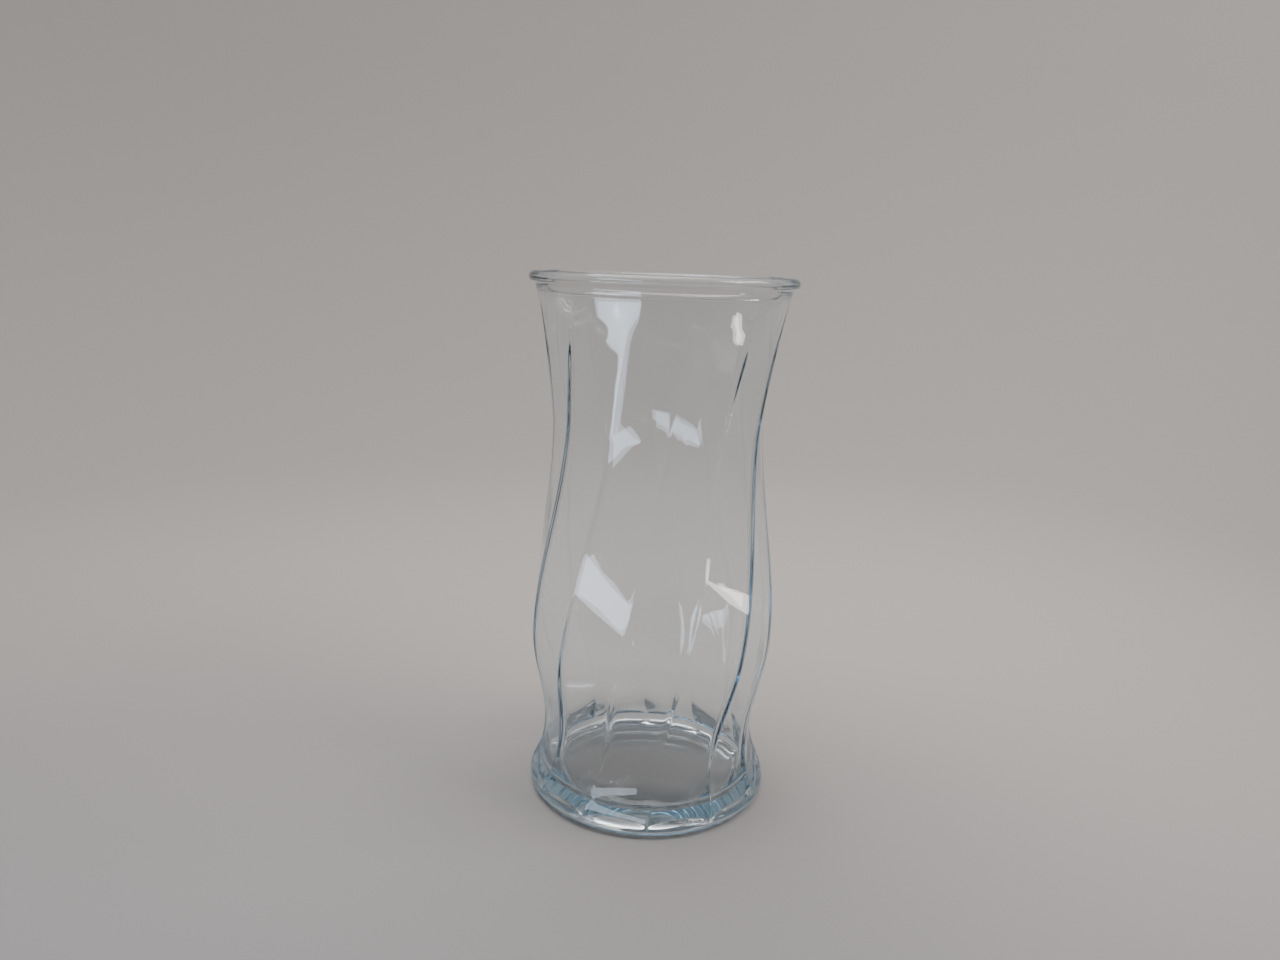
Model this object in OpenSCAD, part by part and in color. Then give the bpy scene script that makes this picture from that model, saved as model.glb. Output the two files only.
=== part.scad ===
// Swirled florist vase, moulded in one piece of clear glass.
// The mouth carries a rolled bead on a short plain collar. Below it twelve flat
// panels fade in and wind down the body in a right-handed swirl, over a waist, a belly
// and a pinch, and run out on a thick round heel that stands on a narrow ring.
// The glass is divided into its named regions, which meet face to face.
// Millimetres, +Z up, origin on the axis at the level of the resting ring.

/* [Overall] */
// Height from the resting ring to the top of the bead
height = 241; // [225:1:260]
// Number of panels around the body
panels = 12; // [10:1:14]
// Turn of the panels from the resting ring to the collar, in degrees
swirl = 47; // [30:1:60]

/* [Rim] */
// Outer diameter of the rolled bead
bead_d = 118.2; // [117.6:0.2:120]
// Height of the bead
bead_h = 4.4; // [4.2:0.1:5.5]
// Outer diameter of the collar where it meets the bead
collar_top_d = 113.6; // [112.8:0.2:114]
// Outer diameter of the collar where it meets the body
collar_d = 111.6; // [111:0.2:112.4]
// Height of the collar
collar_h = 4.2; // [3:0.1:6]
// Diameter of the straight mouth, inside the bead and the collar
mouth_d = 104; // [102:0.2:105]

/* [Body outline over the arrises] */
// Radius at the waist
waist_r = 47.9; // [46:0.1:50]
// Height of the waist
waist_z = 174; // [165:1:180]
// Height from which the panels fade towards the collar
fade_z = 203; // [182:1:215]
// Radius at the belly
belly_r = 56.6; // [54:0.1:58]
// Height of the belly
belly_z = 80; // [72:1:88]
// Radius at the pinch above the heel
pinch_r = 49.9; // [48.5:0.1:52]
// Height of the pinch
pinch_z = 31.5; // [28:0.5:36]

/* [Heel and base] */
// Radius at the widest line of the heel
heel_r = 56.4; // [55.5:0.1:58]
// Height of that widest line
heel_z = 4.5; // [4.2:0.1:5.5]
// Radius of the heel's rounding, in section
heel_round = 3.7; // [3:0.1:3.9]
// Outer radius of the resting ring
ring_outer_r = 50.5; // [49:0.1:51.2]
// Inner radius of the resting ring
ring_inner_r = 46.5; // [45:0.1:47.5]
// Rise of the underside from the resting ring to the middle
punt_h = 3; // [2:0.1:4]
// Height of the inner floor
floor_z = 6.5; // [6.5:0.5:9]
// Radius of the flat part of the inner floor
floor_r = 41; // [38:0.5:42]
// Radius of the fillet between the inner floor and the wall
fillet_r = 5.5; // [4:0.1:6.5]

/* [Glass thickness] */
// Glass at the middle of a panel at the waist
waist_wall = 3; // [2.5:0.1:3.5]
// Glass at the middle of a panel at the pinch
pinch_wall = 3.8; // [3.2:0.1:4.5]
// Rounding of the corners between the panels on the inside
inside_round = 7; // [4:0.5:12]

/* [Hidden] */
$fn = 144;

// Rim, with the roundings of the bead's lower edge, upper edge and inner edge
collar_top = height - bead_h;
body_top = collar_top - collar_h;
bead_r = bead_d / 2;
collar_top_r = collar_top_d / 2;
collar_r = collar_d / 2;
mouth_r = mouth_d / 2;
bead_round = 1.4;
crown_round = 2.6;
lip_round = 3.2;

// Panels: the step under the collar, the flare's steepness, and how the heel's flare is hurried on
half_panel = 180 / panels;
collar_step = 0.4;
body_top_r = collar_r - collar_step;
flare_power = 1.35;
heel_lead = 0.48;

// Base
heel_centre_r = heel_r - heel_round;
heel_top = heel_z + heel_round;
ring_h = heel_z - heel_round;
ring_slope_w = 2;
underside_r = ring_inner_r - ring_slope_w;
fillet_centre_z = floor_z + fillet_r;

// Glass thickness, and the height over which the inside turns from round to panelled
top_wall = body_top_r - mouth_r;
inner_pinch_r = pinch_r * cos(half_panel) - pinch_wall;
inside_start_h = 14;

// Fineness of the curves
panel_steps = 5;
around = panels * panel_steps;
wall_pitch = 6;
underside_pitch = 4;
heel_steps = 6;
arc_step = 15;

// How far hollows are cut past the faces they open, and how much wider the inside starts
// than the top of its fillet, so that the two never just touch
slack = 1;
ledge = 0.15;

clear_glass = [0.80, 0.90, 0.93, 0.5];
deep_glass = [0.42, 0.66, 0.75, 0.7];

// Smooth change from 0 to 1, level at both ends
function ease(t) = (1 - cos(180 * t)) / 2;

// The same span with its first part hurried on
function hurried(t, lead) = t + lead * t * (1 - t);

// Where z lies between low and high, from 0 to 1, and the same held within 0 and 1
function along(z, low, high) = (z - low) / (high - low);
function share(z, low, high) = min(1, max(0, along(z, low, high)));

// Change from a to b as t goes from 0 to 1
function mix(a, b, t) = a + (b - a) * t;

// Radius over the arrises at height z
function arris_r(z) =
    z < pinch_z ? mix(heel_r, pinch_r, ease(hurried(along(z, heel_z, pinch_z), heel_lead))) :
    z < belly_z ? mix(pinch_r, belly_r, ease(along(z, pinch_z, belly_z))) :
    z < waist_z ? mix(belly_r, waist_r, ease(along(z, belly_z, waist_z))) :
    mix(waist_r, body_top_r, pow(along(z, waist_z, body_top), flare_power));

// Angle from the middle of the nearest panel, for direction a at height z
function panel_angle(a, z) =
    let (turned = a - swirl * along(z, 0, body_top))
    turned - 2 * half_panel * floor(turned / (2 * half_panel)) - half_panel;

// How fully the panels are cut at height z: from 1 below fade_z to 0 at the collar
function cut(z) = 1 - ease(share(z, fade_z, body_top));

// Distance to the face of the panel, which fades into the round under the collar
function panel_r(a, z) =
    mix(arris_r(z), arris_r(z) * cos(half_panel) / cos(panel_angle(a, z)), cut(z));

// Radius of the heel's rounding, above its widest line
function heel_roll_r(z) =
    z > heel_z + heel_round ? 0 :
    heel_centre_r + sqrt(max(0, pow(heel_round, 2) - pow(z - heel_z, 2)));

// Outside of the body: panels cut into the round body, standing on the round heel
function outer_r(a, z) = max(heel_roll_r(z), panel_r(a, z));

// Thickness of the glass at height z, above the pinch
function wall(z) =
    z < waist_z ? mix(pinch_wall, waist_wall, along(z, pinch_z, waist_z)) :
    mix(waist_wall, top_wall, along(z, waist_z, body_top));

// Distance to the flat face on the inside, behind a fully cut panel
function inner_flat_r(z) =
    z < pinch_z ? mix(floor_r + fillet_r, inner_pinch_r, ease(along(z, fillet_centre_z, pinch_z))) :
    arris_r(z) * cos(half_panel) - wall(z);

// Inside with faces behind the panels and rounded corners between them, and round at both ends
function inside_r(a, z) =
    let (flat = inner_flat_r(z))
    let (corner = (flat - inside_round) / cos(half_panel) + inside_round)
    let (faced = min(flat / cos(panel_angle(a, z)), corner))
    z < pinch_z ? mix(flat, faced, share(z, fillet_centre_z, fillet_centre_z + inside_start_h)) :
    mix(arris_r(z) - wall(z), faced, cut(z));

// Points of an arc in section, between two angles
function arc(centre_r, centre_z, radius, from, to) = [
    for (t = [from : arc_step : to]) [centre_r + radius * cos(t), centre_z + radius * sin(t)]
];

// Outline of the hollow underside between two radii: a shallow bowl
function underside(inner, outer) =
    let (steps = ceil((outer - inner) / underside_pitch))
    [
        for (i = [0 : steps])
        let (r = mix(inner, outer, i / steps))
        [r, mix(punt_h, ring_h, pow(r / underside_r, 2))]
    ];

// Heights at which the outside is drawn: closer together on the heel
outer_levels = concat(
    [for (i = [0 : heel_steps]) heel_z + heel_round * i / heel_steps],
    [for (z = [heel_top + wall_pitch / 2 : wall_pitch : body_top - wall_pitch / 2]) z],
    [body_top]
);

// Heights at which the inside is drawn, from the fillet to past the mouth of the body
inner_levels = concat(
    [for (z = [fillet_centre_z : wall_pitch : body_top - wall_pitch / 2]) z],
    [body_top, body_top + slack]
);

// A solid through rings at the given heights, each turned with the panels;
// radius is a function of direction and height
module swirled(levels, radius) {
    rings = len(levels);
    points = [
        for (z = levels)
        for (i = [0 : around - 1])
        let (a = 360 * i / around + swirl * along(z, 0, body_top))
        let (r = radius(a, z))
        [r * cos(a), r * sin(a), z]
    ];
    sides = [
        for (k = [0 : rings - 2])
        for (i = [0 : around - 1])
        let (j = (i + 1) % around)
        [k * around + i, (k + 1) * around + i, (k + 1) * around + j, k * around + j]
    ];
    bottom = [for (i = [0 : around - 1]) i];
    top = [for (i = [around - 1 : -1 : 0]) (rings - 1) * around + i];
    polyhedron(points, concat([bottom, top], sides), convexity = 10);
}

// The foot of the hollow: a well as wide as the flat floor, and the fillet round it
module hollow_foot() {
    rotate_extrude()
    polygon(concat(
        [[0, heel_z - slack], [floor_r, heel_z - slack]],
        arc(floor_r, fillet_centre_z, fillet_r, -90, 0),
        [[0, fillet_centre_z]]
    ));
}

// Rolled bead: straight inside, rounded over the top, with a short upright face outside
module rim_bead() {
    color(clear_glass)
    rotate_extrude()
    polygon(concat(
        [[mouth_r, collar_top]],
        arc(bead_r - bead_round, collar_top + bead_round, bead_round, -90, 0),
        arc(bead_r - crown_round, height - crown_round, crown_round, 0, 90),
        arc(mouth_r + lip_round, height - lip_round, lip_round, 90, 180)
    ));
}

// Plain ring between the bead and the panels, wider towards the bead
module collar() {
    color(clear_glass)
    rotate_extrude()
    polygon([
        [mouth_r, body_top],
        [collar_r, body_top],
        [collar_top_r, collar_top],
        [mouth_r, collar_top]
    ]);
}

// Body with its twelve swirled panels
module panel_wall() {
    color(clear_glass)
    difference() {
        swirled(outer_levels, function (a, z) outer_r(a, z));
        swirled(inner_levels, function (a, z) inside_r(a, z) + ledge);
        hollow_foot();
    }
}

// Quarter-round heel outside the floor, below its widest line
module heel() {
    color(deep_glass)
    rotate_extrude()
    polygon(concat(
        underside(floor_r, underside_r),
        arc(heel_centre_r, heel_z, heel_round, -90, 0),
        [[floor_r, heel_z]]
    ));
}

// Narrow ring that the vase stands on
module resting_ring() {
    color(deep_glass)
    rotate_extrude()
    polygon([
        [underside_r, ring_h],
        [ring_inner_r, 0],
        [ring_outer_r, 0],
        [heel_centre_r, ring_h]
    ]);
}

// Thick floor inside the heel
module base_floor() {
    color(deep_glass)
    rotate_extrude()
    polygon(concat(
        underside(0, floor_r),
        [[floor_r, floor_z], [0, floor_z]]
    ));
}

rim_bead();
collar();
panel_wall();
heel();
resting_ring();
base_floor();
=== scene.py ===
"""A swirled glass florist vase on a pale floor, in metres, standing on z = 0.

The vase is one moulded piece of glass, so one continuous mesh stands for all
the CAD regions. Its surface is a grid: rows run round the vase, and step from
the middle of the underside over the heel, the twelve swirled panels, the
collar and the bead, then down the inside wall to the middle of the floor.
"""
import math

import bpy
import numpy as np
from mathutils import Matrix, Vector


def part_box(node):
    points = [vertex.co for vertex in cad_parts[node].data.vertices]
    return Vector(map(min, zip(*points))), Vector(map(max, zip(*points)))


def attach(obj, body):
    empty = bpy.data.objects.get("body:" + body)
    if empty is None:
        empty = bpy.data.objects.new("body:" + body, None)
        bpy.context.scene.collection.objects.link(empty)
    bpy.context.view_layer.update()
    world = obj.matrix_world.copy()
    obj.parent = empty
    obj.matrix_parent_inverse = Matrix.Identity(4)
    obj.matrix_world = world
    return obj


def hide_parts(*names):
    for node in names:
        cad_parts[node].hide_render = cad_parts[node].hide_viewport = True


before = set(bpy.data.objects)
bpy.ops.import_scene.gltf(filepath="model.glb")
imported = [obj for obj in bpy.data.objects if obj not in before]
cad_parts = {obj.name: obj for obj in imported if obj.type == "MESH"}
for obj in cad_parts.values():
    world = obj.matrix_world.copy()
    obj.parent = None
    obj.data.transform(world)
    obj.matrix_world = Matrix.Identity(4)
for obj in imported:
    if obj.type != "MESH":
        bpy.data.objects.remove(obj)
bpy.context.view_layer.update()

MM = 0.001

# ---------------------------------------------------------------- the vase's sizes

# Taken from the frame
COLLAR_LOW, COLLAR_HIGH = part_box("collar")
HEEL_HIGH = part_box("heel")[1]
BEAD_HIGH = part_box("rim_bead")[1]
RING_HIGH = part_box("resting_ring")[1]
FLOOR_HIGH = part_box("base_floor")[1]
HEIGHT = BEAD_HIGH.z
BEAD_R = BEAD_HIGH.x
COLLAR_TOP = COLLAR_HIGH.z
COLLAR_TOP_R = COLLAR_HIGH.x
BODY_TOP = COLLAR_LOW.z
HEEL_R = HEEL_HIGH.x
HEEL_Z = HEEL_HIGH.z
RING_H = RING_HIGH.z
INNER_FLOOR_Z = FLOOR_HIGH.z
INNER_FLOOR_R = FLOOR_HIGH.x

# The design's own sizes, which no box gives
PANELS = 12
SWIRL = math.radians(47)
MOUTH_R = 52 * MM
COLLAR_R = 55.8 * MM
BODY_TOP_R = 55.4 * MM
FADE_Z = 203 * MM
WAIST_R, WAIST_Z = 47.9 * MM, 174 * MM
BELLY_R, BELLY_Z = 56.6 * MM, 80 * MM
PINCH_R, PINCH_Z = 49.9 * MM, 31.5 * MM
RING_OUTER_R, RING_INNER_R = 50.5 * MM, 46.5 * MM
UNDERSIDE_R = 44.5 * MM
PUNT_H = 3 * MM
FILLET_R = 5.5 * MM
WAIST_WALL, PINCH_WALL = 3.0 * MM, 3.8 * MM
FLARE_POWER = 1.35
HEEL_LEAD = 0.48
INSIDE_START_H = 14 * MM

HEEL_ROUND = HEEL_Z - RING_H
HEEL_CENTRE_R = HEEL_R - HEEL_ROUND
FILLET_CENTRE_Z = INNER_FLOOR_Z + FILLET_R
HALF_PANEL = math.pi / PANELS
PANEL_COS = math.cos(HALF_PANEL)
TOP_WALL = BODY_TOP_R - MOUTH_R
INNER_PINCH_R = PINCH_R * PANEL_COS - PINCH_WALL

# Rounding of the arrises outside and inside, and of the line where the panels meet the heel
ARRIS_ROUND = 3.5 * MM
INSIDE_ROUND = 7 * MM
HEEL_BLEND = 0.35 * MM

# Rounding of the bead's lower, upper and inner edges
BEAD_ROUND, CROWN_ROUND, LIP_ROUND = 1.4 * MM, 2.6 * MM, 3.2 * MM

# The collar's small step at the body, and how far out and up the collar its crease lies
STEP_H = 0.25 * MM
CREASE_OUT, CREASE_UP = 0.35, 0.6

# Slow waves left in the glass by the mould, outside and inside
OUTER_WAVE, INNER_WAVE = 0.05 * MM, 0.14 * MM

# Rows of the mesh up the heel, up the body, down the inside wall and across each flat
HEEL_ROWS, BODY_ROWS, INSIDE_ROWS = 20, 150, 115
UNDERSIDE_ROWS, FLOOR_ROWS = 12, 10
MIDDLE_R = 1.5 * MM


def mix(a, b, t):
    """Change from a to b as t goes from 0 to 1."""
    return a + (b - a) * t


def ease(t):
    """The same change from 0 to 1, level at both ends."""
    return (1 - np.cos(np.pi * t)) / 2


def along(z, low, high):
    """Where z lies between low and high, held within 0 and 1."""
    return np.clip((z - low) / (high - low), 0, 1)


def smooth_max(a, b, k):
    """The larger of a and b, with the change from one to the other rounded off."""
    h = np.clip(0.5 + (a - b) / (2 * k), 0, 1)
    return mix(b, a, h) + k * h * (1 - h)


def arris_radius(z):
    """Radius over the arrises at height z."""
    t = along(z, HEEL_Z, PINCH_Z)
    foot = mix(HEEL_R, PINCH_R, ease(t + HEEL_LEAD * t * (1 - t)))
    low = mix(PINCH_R, BELLY_R, ease(along(z, PINCH_Z, BELLY_Z)))
    high = mix(BELLY_R, WAIST_R, ease(along(z, BELLY_Z, WAIST_Z)))
    flare = mix(WAIST_R, BODY_TOP_R, along(z, WAIST_Z, BODY_TOP) ** FLARE_POWER)
    return np.select([z < PINCH_Z, z < BELLY_Z, z < WAIST_Z], [foot, low, high], flare)


def facet_radius(off, flat, rounding):
    """Radius of a flat face at angle off from its middle, with its corners rounded."""
    centre = (flat - rounding) / PANEL_COS
    tangent = np.arctan((flat - rounding) * math.tan(HALF_PANEL) / flat)
    beta = HALF_PANEL - np.abs(off)
    arc = centre * np.cos(beta) + np.sqrt(
        np.maximum(0, rounding**2 - (centre * np.sin(beta)) ** 2)
    )
    return np.where(np.abs(off) > tangent, arc, flat / np.cos(off))


def cut(z):
    """How fully the panels are cut: from 1 below FADE_Z to 0 at the collar."""
    return 1 - ease(along(z, FADE_Z, BODY_TOP))


def body_radius(off, z):
    """Outside of the body: panels cut into the round body, standing on the round heel."""
    faces = facet_radius(off, arris_radius(z) * PANEL_COS, ARRIS_ROUND)
    body = mix(arris_radius(z), faces, cut(z))
    rise = np.maximum(0, HEEL_ROUND**2 - (z - HEEL_Z) ** 2)
    roll = np.where(z < HEEL_Z + HEEL_ROUND, HEEL_CENTRE_R + np.sqrt(rise), 0)
    return smooth_max(body, roll + 0 * off, HEEL_BLEND)


def inside_radius(off, z):
    """Inside wall, which follows the panels and is round at the base and the mouth."""
    wall = mix(PINCH_WALL, WAIST_WALL, along(z, PINCH_Z, WAIST_Z))
    wall = mix(wall, TOP_WALL, along(z, WAIST_Z, BODY_TOP))
    foot_share = ease(along(z, FILLET_CENTRE_Z, PINCH_Z))
    foot_r = mix(INNER_FLOOR_R + FILLET_R, INNER_PINCH_R, foot_share)
    if z < PINCH_Z:
        faces = facet_radius(off, foot_r, INSIDE_ROUND)
        return mix(foot_r, faces, along(z, FILLET_CENTRE_Z, FILLET_CENTRE_Z + INSIDE_START_H))
    faces = facet_radius(off, arris_radius(z) * PANEL_COS - wall, INSIDE_ROUND)
    return mix(arris_radius(z) - wall, faces, cut(z))


# ---------------------------------------------------------------- the glass mesh


def panel_offsets():
    """Angles across one panel from its middle, closer together by the arrises."""
    half = [0, 2.6, 5.2, 7.8, 10.2, 12, 13.2, 13.9, 14.35, 14.7]
    degrees = [-d for d in reversed(half)] + half[1:] + [15]
    return np.radians(degrees)


def rounded(corners, steps=5):
    """Outline through (r, z, fillet radius) corners, each corner turned on an arc."""
    line = []
    for i, (r, z, fillet) in enumerate(corners):
        here = np.array([r, z])
        if fillet == 0 or i in (0, len(corners) - 1):
            line.append(here)
            continue
        back = np.array(corners[i - 1][:2]) - here
        on = np.array(corners[i + 1][:2]) - here
        back /= np.linalg.norm(back)
        on /= np.linalg.norm(on)
        half_angle = math.acos(np.clip(back @ on, -1, 1)) / 2
        reach = fillet / math.tan(half_angle)
        bisector = (back + on) / np.linalg.norm(back + on)
        centre = here + bisector * fillet / math.sin(half_angle)
        start = here + back * reach - centre
        end = here + on * reach - centre
        turn = math.atan2(start[0] * end[1] - start[1] * end[0], start @ end)
        for k in range(steps + 1):
            a = turn * k / steps
            spin = np.array([[math.cos(a), -math.sin(a)], [math.sin(a), math.cos(a)]])
            line.append(centre + spin @ start)
    return np.array(line)


def arc(centre_r, centre_z, radius, start, end, steps):
    """Points of a round stretch of the outline, from start to end degrees."""
    a = np.radians(np.linspace(start, end, steps + 1))
    return np.stack([centre_r + radius * np.cos(a), centre_z + radius * np.sin(a)], 1)


def underside_outline():
    """From the middle of the underside to the heel's widest line."""
    r = np.linspace(MIDDLE_R, UNDERSIDE_R - 1.5 * MM, UNDERSIDE_ROWS)
    bowl = np.stack([r, mix(PUNT_H, RING_H, (r / UNDERSIDE_R) ** 2)], 1)
    ring = rounded(
        [
            (bowl[-1][0], bowl[-1][1], 0),
            (UNDERSIDE_R, RING_H, 1.5 * MM),
            (RING_INNER_R, 0, 0.8 * MM),
            (RING_OUTER_R, 0, 0.8 * MM),
            (HEEL_CENTRE_R, RING_H, 0),
        ],
        steps=4,
    )
    heel = arc(HEEL_CENTRE_R, HEEL_Z, HEEL_ROUND, -82, -4, 12)
    return np.concatenate([bowl, ring[1:-1], heel])


def rim_outline():
    """From the top of the panels over the collar and the bead to the straight mouth."""
    return rounded(
        [
            (BODY_TOP_R, BODY_TOP - 0.4 * MM, 0),
            (BODY_TOP_R - 0.05 * MM, BODY_TOP, 0.3 * MM),
            (COLLAR_R, BODY_TOP + STEP_H, 0.35 * MM),
            (mix(COLLAR_R, COLLAR_TOP_R, CREASE_OUT), mix(BODY_TOP, COLLAR_TOP, CREASE_UP), 6 * MM),
            (COLLAR_TOP_R, COLLAR_TOP, 0.3 * MM),
            (BEAD_R, COLLAR_TOP, BEAD_ROUND),
            (BEAD_R, HEIGHT, CROWN_ROUND),
            (MOUTH_R, HEIGHT, LIP_ROUND),
            (MOUTH_R, BODY_TOP + 2 * MM, 0),
        ],
        steps=7,
    )[1:-1]


def inside_outline():
    """From the foot of the inside wall to the middle of the floor."""
    fillet = arc(INNER_FLOOR_R, FILLET_CENTRE_Z, FILLET_R, -6, -90, 14)
    r = np.linspace(INNER_FLOOR_R - 2 * MM, MIDDLE_R, FLOOR_ROWS)
    floor = np.stack([r, np.full_like(r, INNER_FLOOR_Z)], 1)
    return np.concatenate([fillet, floor])


def body_levels():
    """Heights of the rows up the body, closer together on the heel."""
    heel = np.linspace(HEEL_Z, HEEL_Z + HEEL_ROUND + 1.5 * MM, HEEL_ROWS)
    body = np.linspace(heel[-1] + 1 * MM, BODY_TOP - 0.8 * MM, BODY_ROWS)
    return np.concatenate([heel, body])


def ripple(angle, z, size):
    """Slow waves in the glass, as a sum of (turns round the vase, pitch in m, phase, share)."""
    waves = [
        (2, 0.110, 0.4, 0.30), (3, -0.083, 2.1, 0.25), (5, 0.061, 4.0, 0.2),
        (7, -0.047, 1.2, 0.14), (11, 0.034, 5.1, 0.08), (17, -0.026, 3.3, 0.05),
    ]
    total = 0
    for turns, pitch, phase, share in waves:
        total = total + share * np.sin(turns * angle + 2 * math.pi * z / pitch + phase)
    return size * total


def vase_grid():
    """Rows of points: arrays of angle, radius and height, one row per step."""
    offsets = panel_offsets()
    base = np.concatenate([k * 2 * HALF_PANEL + HALF_PANEL + offsets for k in range(PANELS)])
    off = np.tile(offsets, PANELS)
    angles, radii, heights = [], [], []

    def add(angle, r, z):
        angles.append(angle)
        radii.append(r + 0 * angle)
        heights.append(z + 0 * angle)

    def turned(z):
        return base + SWIRL * np.clip(z / BODY_TOP, 0, 1)

    for r, z in underside_outline():
        add(turned(HEEL_Z), r, z)
    for z in body_levels():
        fade = along(z, HEEL_Z, PINCH_Z) * along(BODY_TOP - z, 0, 20 * MM)
        wave = ripple(turned(z), z, OUTER_WAVE) * fade
        add(turned(z), body_radius(off, z) + wave, z)
    for r, z in rim_outline():
        add(turned(BODY_TOP), r, z)
    for z in np.linspace(BODY_TOP + 2 * MM, FILLET_CENTRE_Z, INSIDE_ROWS):
        fade = along(z, INNER_FLOOR_Z + 2 * MM, PINCH_Z) * along(BODY_TOP - z, 0, 25 * MM)
        wave = ripple(1.3 + turned(z), z * 0.8, INNER_WAVE) * fade
        add(turned(z), inside_radius(off, z) + wave, z)
    for r, z in inside_outline():
        add(turned(FILLET_CENTRE_Z), r, z)
    return np.array(angles), np.array(radii), np.array(heights)


def slope(back, on):
    """Direction of the surface at a point, from the steps to it and on from it."""
    before = np.linalg.norm(back, axis=-1, keepdims=True)
    after = np.linalg.norm(on, axis=-1, keepdims=True)
    return back / before * after + on / after * before


def grid_normals(grid):
    """Normals of the grid's points that stay even where the steps change in size."""
    round_step = np.roll(grid, -1, axis=1) - grid
    row_step = np.diff(grid, axis=0)
    across = slope(np.roll(round_step, 1, axis=1), round_step)
    up = np.concatenate([row_step[:1], slope(row_step[:-1], row_step[1:]), row_step[-1:]])
    normals = np.cross(across, up)
    return normals / np.linalg.norm(normals, axis=-1, keepdims=True)


def glass_mesh(name):
    """The closed surface of the whole vase, with a fan at each of its two middles."""
    angle, radius, height = vase_grid()
    rows, around = angle.shape
    grid = np.stack([radius * np.cos(angle), radius * np.sin(angle), height], -1)
    normals = grid_normals(grid).reshape(-1, 3).tolist() + [[0, 0, -1], [0, 0, 1]]
    points = grid.reshape(-1, 3).tolist()
    under, inside = len(points), len(points) + 1
    points += [[0, 0, PUNT_H], [0, 0, INNER_FLOOR_Z]]
    faces = []
    for k in range(rows - 1):
        for i in range(around):
            j = (i + 1) % around
            low, high = k * around, (k + 1) * around
            faces.append((low + i, low + j, high + j, high + i))
    last = (rows - 1) * around
    for i in range(around):
        j = (i + 1) % around
        faces.append((under, j, i))
        faces.append((inside, last + i, last + j))
    mesh = bpy.data.meshes.new(name)
    mesh.from_pydata(points, [], faces)
    mesh.shade_smooth()
    mesh.normals_split_custom_set_from_vertices(normals)
    mesh.update()
    piece = bpy.data.objects.new(name, mesh)
    bpy.context.scene.collection.objects.link(piece)
    return piece


# ---------------------------------------------------------------- materials


def new_material(name):
    """A node material, with its tree, its surface shader and its output."""
    material = bpy.data.materials.new(name)
    material.use_nodes = True
    tree = material.node_tree
    return material, tree, tree.nodes["Principled BSDF"], tree.nodes["Material Output"]


def glass_material():
    """Clear soda-lime glass, blue-green where it is thick, with a faint mould texture."""
    material, tree, shader, output = new_material("clear_glass")
    shader.inputs["Base Color"].default_value = (1, 1, 1, 1)
    shader.inputs["Transmission Weight"].default_value = 1
    shader.inputs["IOR"].default_value = 1.52
    place = tree.nodes.new("ShaderNodeTexCoord")
    haze = tree.nodes.new("ShaderNodeTexNoise")
    haze.inputs["Scale"].default_value = 45
    haze.inputs["Detail"].default_value = 3
    clarity = tree.nodes.new("ShaderNodeMapRange")
    clarity.inputs["From Min"].default_value = 0.45
    clarity.inputs["From Max"].default_value = 0.75
    clarity.inputs["To Min"].default_value = 0.0
    clarity.inputs["To Max"].default_value = 0.03
    skin = tree.nodes.new("ShaderNodeTexNoise")
    skin.inputs["Scale"].default_value = 320
    skin.inputs["Detail"].default_value = 2
    bump = tree.nodes.new("ShaderNodeBump")
    bump.inputs["Strength"].default_value = 0.03
    bump.inputs["Distance"].default_value = 0.05 * MM
    tint = tree.nodes.new("ShaderNodeVolumeAbsorption")
    tint.inputs["Color"].default_value = (0.34, 0.64, 0.80, 1)
    tint.inputs["Density"].default_value = 15
    tree.links.new(place.outputs["Object"], haze.inputs["Vector"])
    tree.links.new(place.outputs["Object"], skin.inputs["Vector"])
    tree.links.new(haze.outputs["Fac"], clarity.inputs["Value"])
    tree.links.new(clarity.outputs["Result"], shader.inputs["Roughness"])
    tree.links.new(skin.outputs["Fac"], bump.inputs["Height"])
    tree.links.new(bump.outputs["Normal"], shader.inputs["Normal"])
    tree.links.new(tint.outputs["Volume"], output.inputs["Volume"])
    return material


def studio_material():
    """Pale floor and far wall, changing to dark slate on the side behind the camera: painted shade
    standing in for the dim room there.
    """
    material, tree, shader, _ = new_material("studio")
    place = tree.nodes.new("ShaderNodeTexCoord")
    split = tree.nodes.new("ShaderNodeSeparateXYZ")
    side = tree.nodes.new("ShaderNodeMapRange")
    side.interpolation_type = "SMOOTHSTEP"
    side.inputs["From Min"].default_value = -0.9
    side.inputs["From Max"].default_value = 0.35
    painted_shade_blend = tree.nodes.new("ShaderNodeMix")
    painted_shade_blend.data_type = "RGBA"
    # Dark slate is painted shade of the dim room behind the camera, darker towards the camera side;
    # the pale colour is the floor's and wall's own.
    painted_shade_blend.inputs["A"].default_value = (0.07, 0.09, 0.13, 1)
    painted_shade_blend.inputs["B"].default_value = (0.56, 0.53, 0.51, 1)
    tree.links.new(place.outputs["Object"], split.inputs["Vector"])
    tree.links.new(split.outputs["Y"], side.inputs["Value"])
    tree.links.new(side.outputs["Result"], painted_shade_blend.inputs["Factor"])
    tree.links.new(painted_shade_blend.outputs["Result"], shader.inputs["Base Color"])
    shader.inputs["Roughness"].default_value = 0.85
    return material


# ---------------------------------------------------------------- the studio

FLOOR_RADIUS = 0.75
WALL_RADIUS = 1.3
WALL_HEIGHT = 1.3


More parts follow.
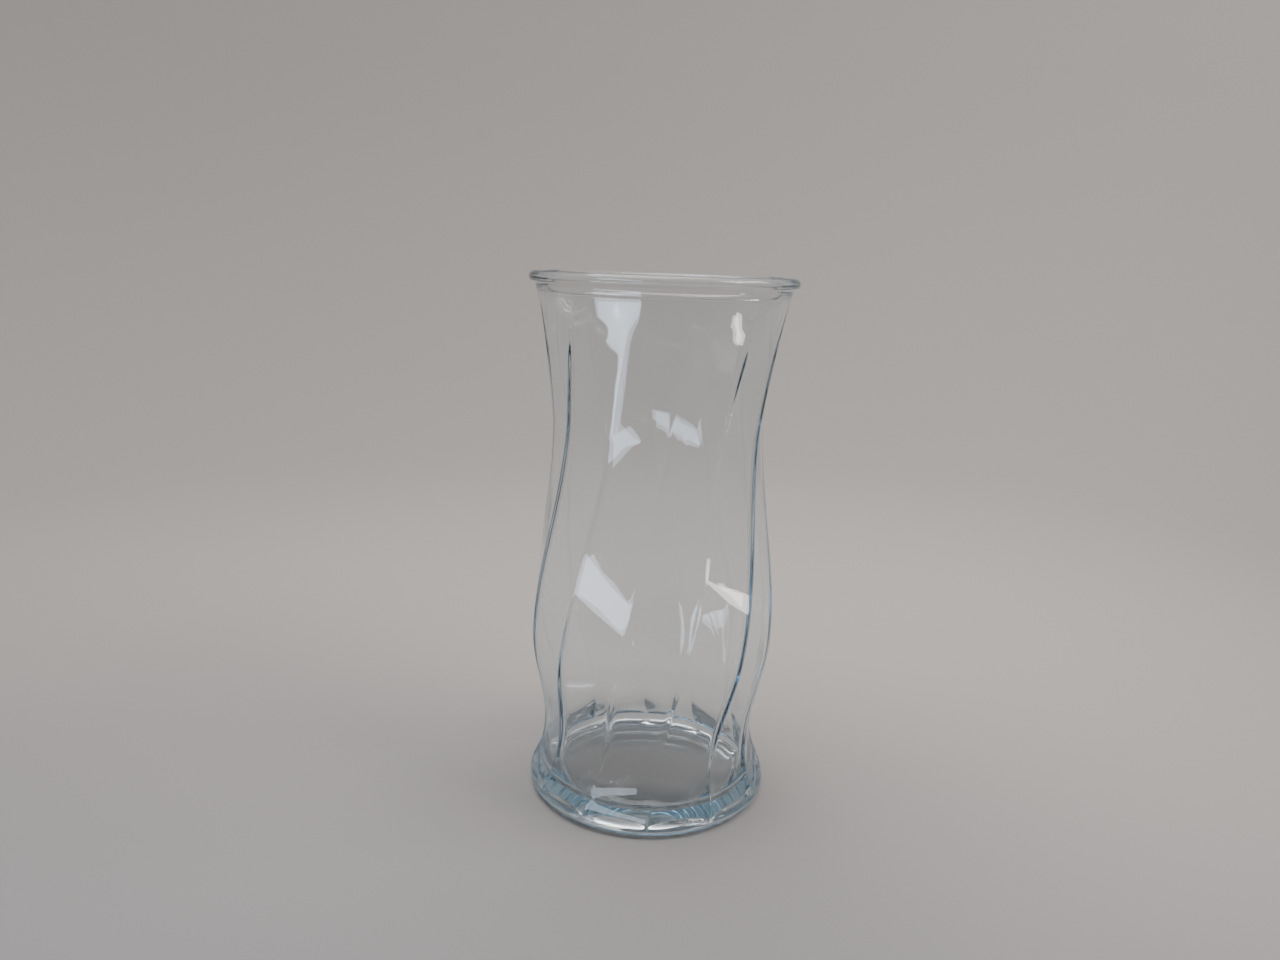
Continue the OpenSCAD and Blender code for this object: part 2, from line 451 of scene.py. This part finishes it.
def add_studio():
    """A round floor that curves up into a wall all the way round."""
    sweep = WALL_RADIUS - FLOOR_RADIUS
    outline = [(FLOOR_RADIUS * k / 6, 0) for k in range(1, 7)]
    for k in range(1, 13):
        a = math.pi / 2 * k / 12
        outline.append((FLOOR_RADIUS + sweep * math.sin(a), sweep * (1 - math.cos(a))))
    outline.append((WALL_RADIUS, WALL_HEIGHT))
    around = 96
    points = [
        (r * math.cos(2 * math.pi * i / around), r * math.sin(2 * math.pi * i / around), z)
        for r, z in outline
        for i in range(around)
    ]
    middle = len(points)
    points.append((0, 0, 0))
    faces = [(middle, i, (i + 1) % around) for i in range(around)]
    for k in range(len(outline) - 1):
        for i in range(around):
            j = (i + 1) % around
            low, high = k * around, (k + 1) * around
            faces.append((low + i, high + i, high + j, low + j))
    mesh = bpy.data.meshes.new("studio")
    mesh.from_pydata(points, [], faces)
    mesh.shade_smooth()
    studio = bpy.data.objects.new("studio", mesh)
    bpy.context.scene.collection.objects.link(studio)
    mesh.materials.append(studio_material())


def add_light(name, place, target, width, height, power, colour, spread=180):
    """A soft rectangular lamp at place that faces target, shining within spread degrees."""
    light = bpy.data.lights.new(name, "AREA")
    light.shape = "RECTANGLE"
    light.size = width
    light.size_y = height
    light.spread = math.radians(spread)
    light.energy = power
    light.color = colour
    lamp = bpy.data.objects.new(name, light)
    lamp.location = place
    aim = Vector(target) - Vector(place)
    lamp.rotation_euler = aim.to_track_quat("-Z", "Y").to_euler()
    lamp.visible_camera = False
    bpy.context.scene.collection.objects.link(lamp)


def add_lights():
    """Soft lamps above and to the sides, and a dim cool room."""
    middle = (0, 0, HEIGHT / 2)
    add_light("overhead", (-0.2, 0.1, 1.25), middle, 1.1, 0.9, 13, (1.0, 0.97, 0.94))
    add_light("wall_wash", (0.5, 0.35, 0.75), (0.3, 1.3, 0.35), 0.5, 0.3, 2.2, (1.0, 0.97, 0.93))
    add_light("window", (-0.30, -0.35, 0.045), (0, 0, 0.2), 0.36, 0.065, 0.25, (0.72, 0.84, 1.0), 110)
    add_light("side", (0.42, -0.10, 0.55), (0, 0, 0.22), 0.40, 0.22, 2.0, (1.0, 0.95, 0.9))
    add_light("low_side", (0.42, -0.15, 0.05), (0, 0, 0.2), 0.05, 0.03, 0.06, (1.0, 0.95, 0.9))
    world = bpy.data.worlds.new("room")
    world.use_nodes = True
    background = world.node_tree.nodes["Background"]
    background.inputs["Color"].default_value = (0.55, 0.62, 0.72, 1)
    background.inputs["Strength"].default_value = 0.25
    bpy.context.scene.world = world


def add_camera():
    """The photograph's view: close, a little above the rim, tilted down and slightly rolled."""
    distance, camera_height = 0.4302, 0.2457
    pitch, yaw, roll = math.radians(12.77), math.radians(-1.03), math.radians(1.96)
    data = bpy.data.cameras.new("camera")
    data.sensor_width = 36
    data.lens = 27.03
    data.clip_start = 0.01
    camera = bpy.data.objects.new("camera", data)
    turn = (
        Matrix.Rotation(-yaw, 4, "Z")
        @ Matrix.Rotation(math.pi / 2 - pitch, 4, "X")
        @ Matrix.Rotation(roll, 4, "Z")
    )
    camera.matrix_world = Matrix.Translation((0, -distance, camera_height)) @ turn
    bpy.context.scene.collection.objects.link(camera)
    bpy.context.scene.camera = camera


def let_light_through():
    """Enough bounces for light that is reflected many times inside the thick base."""
    cycles = bpy.context.scene.cycles
    cycles.max_bounces = 40
    cycles.glossy_bounces = 28
    cycles.transmission_bounces = 24


add_camera()
add_studio()
add_lights()
let_light_through()

vase = glass_mesh("vase_glass")
vase.data.materials.append(glass_material())
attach(vase, "root")
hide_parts("rim_bead", "collar", "panel_wall", "heel", "resting_ring", "base_floor")
